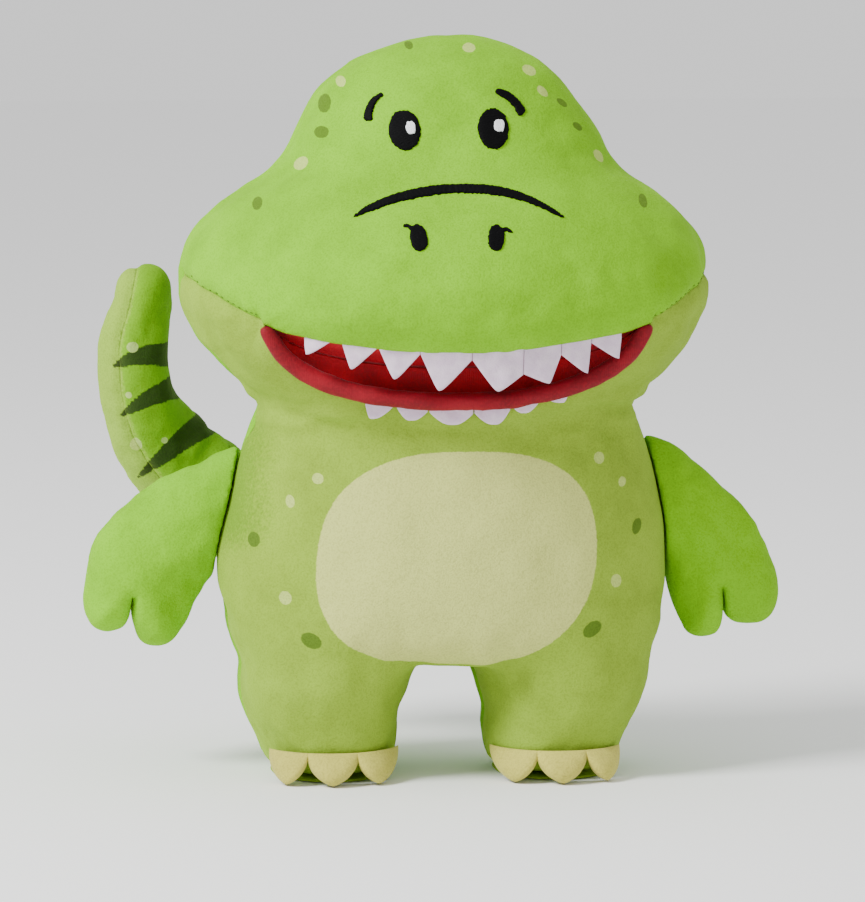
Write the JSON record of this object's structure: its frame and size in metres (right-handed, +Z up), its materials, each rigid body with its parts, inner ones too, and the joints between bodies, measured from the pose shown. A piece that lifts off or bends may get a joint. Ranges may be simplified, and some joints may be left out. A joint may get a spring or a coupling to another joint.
{
  "type": "stuffed toy dinosaur",
  "caption": "Plush standing dinosaur with a wide open mouth, felt teeth, embroidered face, mitten arms, striped curled tail and stubby clawed feet",
  "frame": {"origin": "centre of the bounding box, on the floor plane that the soles stand on", "axes": "+Z up, -Y the way the toy faces, +X towards the toy's left hand"},
  "size_m": [0.281, 0.1956, 0.3],
  "materials": {
    "bright_plush": "short-pile plush, bright yellow-green",
    "pale_plush": "short-pile plush, soft leaf green",
    "claw_plush": "short-pile plush, cream yellow",
    "mouth_fabric": "brushed tricot, deep red",
    "felt": "craft felt, pale lilac white",
    "black_thread": "satin-stitch embroidery, black",
    "white_thread": "satin-stitch embroidery, white",
    "stuffing": "polyester fibre filling",
    "label_tape": "woven ribbon, blank"
  },
  "bodies": {
    "torso": {"body_front_panel": "pale_plush", "body_back_panel": "bright_plush", "body_stuffing": "stuffing", "mouth_floor_lining": "mouth_fabric", "lower_lip_roll": "mouth_fabric", "lower_tooth_1": "felt", "lower_tooth_2": "felt", "lower_tooth_3": "felt", "lower_tooth_4": "felt", "lower_tooth_5": "felt", "lower_tooth_6": "felt", "right_sole": "pale_plush", "right_toe_1": "claw_plush", "right_toe_2": "claw_plush", "right_toe_3": "claw_plush", "left_sole": "pale_plush", "left_toe_1": "claw_plush", "left_toe_2": "claw_plush", "left_toe_3": "claw_plush", "sewn_label": "label_tape"},
    "head": {"face_panel": "bright_plush", "right_cheek_panel": "pale_plush", "left_cheek_panel": "pale_plush", "head_back_panel": "bright_plush", "head_stuffing": "stuffing", "mouth_roof_lining": "mouth_fabric", "upper_tooth_1": "felt", "upper_tooth_2": "felt", "upper_tooth_3": "felt", "upper_tooth_4": "felt", "upper_tooth_5": "felt", "upper_tooth_6": "felt", "upper_tooth_7": "felt", "upper_tooth_8": "felt", "right_eye": "black_thread", "right_eye_glint": "white_thread", "right_brow": "black_thread", "right_nostril": "black_thread", "left_eye": "black_thread", "left_eye_glint": "white_thread", "left_brow": "black_thread", "left_nostril": "black_thread", "frown_line": "black_thread"},
    "right_arm": {"right_arm_front": "bright_plush", "right_arm_back": "bright_plush", "right_arm_stuffing": "stuffing"},
    "left_arm": {"left_arm_front": "bright_plush", "left_arm_back": "bright_plush", "left_arm_stuffing": "stuffing"},
    "tail_base": {"tail_base_top": "bright_plush", "tail_base_underside": "pale_plush", "tail_base_stuffing": "stuffing"},
    "tail_tip": {"tail_tip_top": "bright_plush", "tail_tip_underside": "pale_plush", "tail_tip_stuffing": "stuffing"}
  },
  "joints": [
    {"name": "head_nod", "type": "hinge", "parent": "torso", "child": "head", "pos_m": [0, 0.0115, 0.172], "axis": [1, 0, 0], "range_deg": [-10, 4], "stiffness_Nm_per_rad": 3},
    {"name": "right_arm_swing", "type": "hinge", "parent": "torso", "child": "right_arm", "pos_m": [-0.0969, -0.0025, 0.1115], "axis": [0.1738, 0, 0.9848], "range_deg": [-40, 40], "stiffness_Nm_per_rad": 0.12},
    {"name": "left_arm_swing", "type": "hinge", "parent": "torso", "child": "left_arm", "pos_m": [0.0969, -0.0025, 0.1115], "axis": [-0.1738, 0, 0.9848], "range_deg": [-40, 40], "stiffness_Nm_per_rad": 0.12},
    {"name": "tail_sway", "type": "hinge", "parent": "torso", "child": "tail_base", "pos_m": [-0.006, 0.0695, 0.084], "axis": [0, 0, 1], "range_deg": [-12, 7], "stiffness_Nm_per_rad": 0.6},
    {"name": "tail_curl", "type": "hinge", "parent": "tail_base", "child": "tail_tip", "pos_m": [-0.09198, 0.06609, 0.11106], "axis": [-0.1797, 0.9713, 0.1557], "range_deg": [-6, 5], "stiffness_Nm_per_rad": 0.4}
  ]
}
